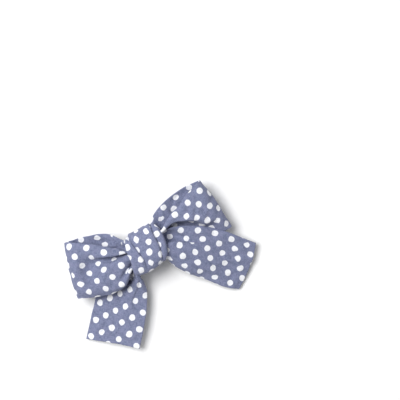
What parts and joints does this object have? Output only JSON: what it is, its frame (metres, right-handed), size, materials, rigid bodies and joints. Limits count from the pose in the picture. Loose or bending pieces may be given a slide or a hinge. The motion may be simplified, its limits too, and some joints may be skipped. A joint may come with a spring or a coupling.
{
  "type": "hair bow",
  "caption": "Hand-tied dotted cotton bow with soft loops and square-cut tails, backed with felt and glued to a ribbon-lined, sprung alligator hair clip.",
  "frame": {"origin": "on the underside of the clip's lined lower jaw, straight under the middle of the knot; the bow rests on this plane", "axes": "+X along the clip and the bow towards the loop whose tail lies over it, +Y up the bow towards the loops' upper corners, +Z out of the bow's front"},
  "size_m": [0.0925, 0.0601, 0.0206],
  "materials": {
    "dotted_cotton": "slate-blue woven cotton with round white dots",
    "felt": "short-napped craft felt",
    "glue": "set hot glue, satin",
    "thread": "twisted cotton thread",
    "grosgrain": "ribbed ribbon",
    "plated_steel": "bright nickel plate",
    "spring_steel": "drawn wire"
  },
  "bodies": {
    "bow": {"left_loop": "dotted_cotton", "right_loop": "dotted_cotton", "left_tail": "dotted_cotton", "right_tail": "dotted_cotton", "knot_wrap": "dotted_cotton", "knot_core": "dotted_cotton", "felt_pad": "felt", "glue_film": "glue", "tacking_stitches": "thread", "top_lining": "grosgrain", "grip_lining": "grosgrain", "clip_top_jaw": "plated_steel", "hinge_pin": "plated_steel", "torsion_spring": "spring_steel"},
    "lower_jaw": {"clip_bottom_jaw": "plated_steel", "bottom_lining": "grosgrain"}
  },
  "joints": [
    {"name": "clip_hinge", "type": "hinge", "parent": "bow", "child": "lower_jaw", "pos_m": [0.009, 0, 0.0039], "axis": [0, -1, 0], "range_deg": [0, 16], "stiffness_Nm_per_rad": 0.05, "springref_deg": -40.11, "deforming": ["torsion_spring"]}
  ]
}
